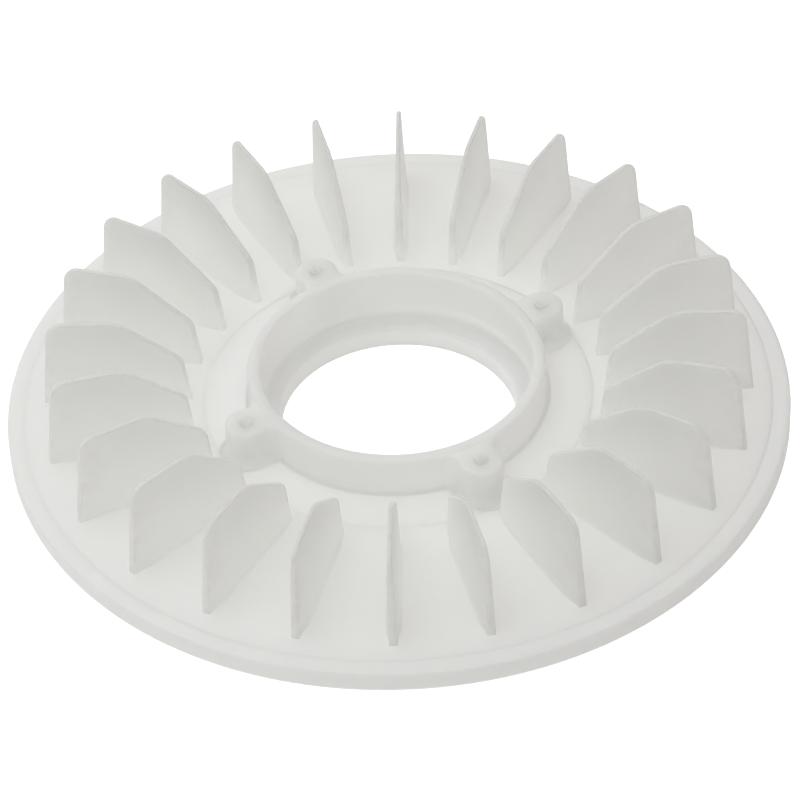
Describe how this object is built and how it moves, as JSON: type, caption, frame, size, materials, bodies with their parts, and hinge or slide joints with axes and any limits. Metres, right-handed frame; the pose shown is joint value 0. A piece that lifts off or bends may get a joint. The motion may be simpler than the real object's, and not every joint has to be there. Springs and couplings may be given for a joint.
{
  "type": "flywheel cooling fan",
  "caption": "One-piece moulded plastic cooling fan: a thin disc with upright radial vanes, a stepped central bore inside a low collar, and screw bosses round it.",
  "frame": {"origin": "on the fan's axis, at the bottom face of the spigot", "axes": "+Z along the axis, from the spigot towards the free edges of the vanes; +Y runs along vane_01"},
  "size_m": [0.18, 0.18, 0.032],
  "materials": {
    "disc": "satin, slightly translucent natural nylon",
    "hub": "satin, slightly translucent natural nylon",
    "vanes": "satin, slightly translucent natural nylon"
  },
  "bodies": {
    "root": {"plate_web": "disc", "rim_lip": "disc", "hub_flange": "hub", "hub_collar": "hub", "hub_ledge": "hub", "hub_spigot": "hub", "screw_boss_1": "hub", "screw_boss_2": "hub", "screw_boss_3": "hub", "screw_boss_4": "hub", "vane_01": "vanes", "vane_02": "vanes", "vane_03": "vanes", "vane_04": "vanes", "vane_05": "vanes", "vane_06": "vanes", "vane_07": "vanes", "vane_08": "vanes", "vane_09": "vanes", "vane_10": "vanes", "vane_11": "vanes", "vane_12": "vanes", "vane_13": "vanes", "vane_14": "vanes", "vane_15": "vanes", "vane_16": "vanes", "vane_17": "vanes", "vane_18": "vanes", "vane_19": "vanes", "vane_20": "vanes", "vane_21": "vanes", "vane_22": "vanes", "vane_23": "vanes", "vane_24": "vanes"}
  },
  "joints": []
}
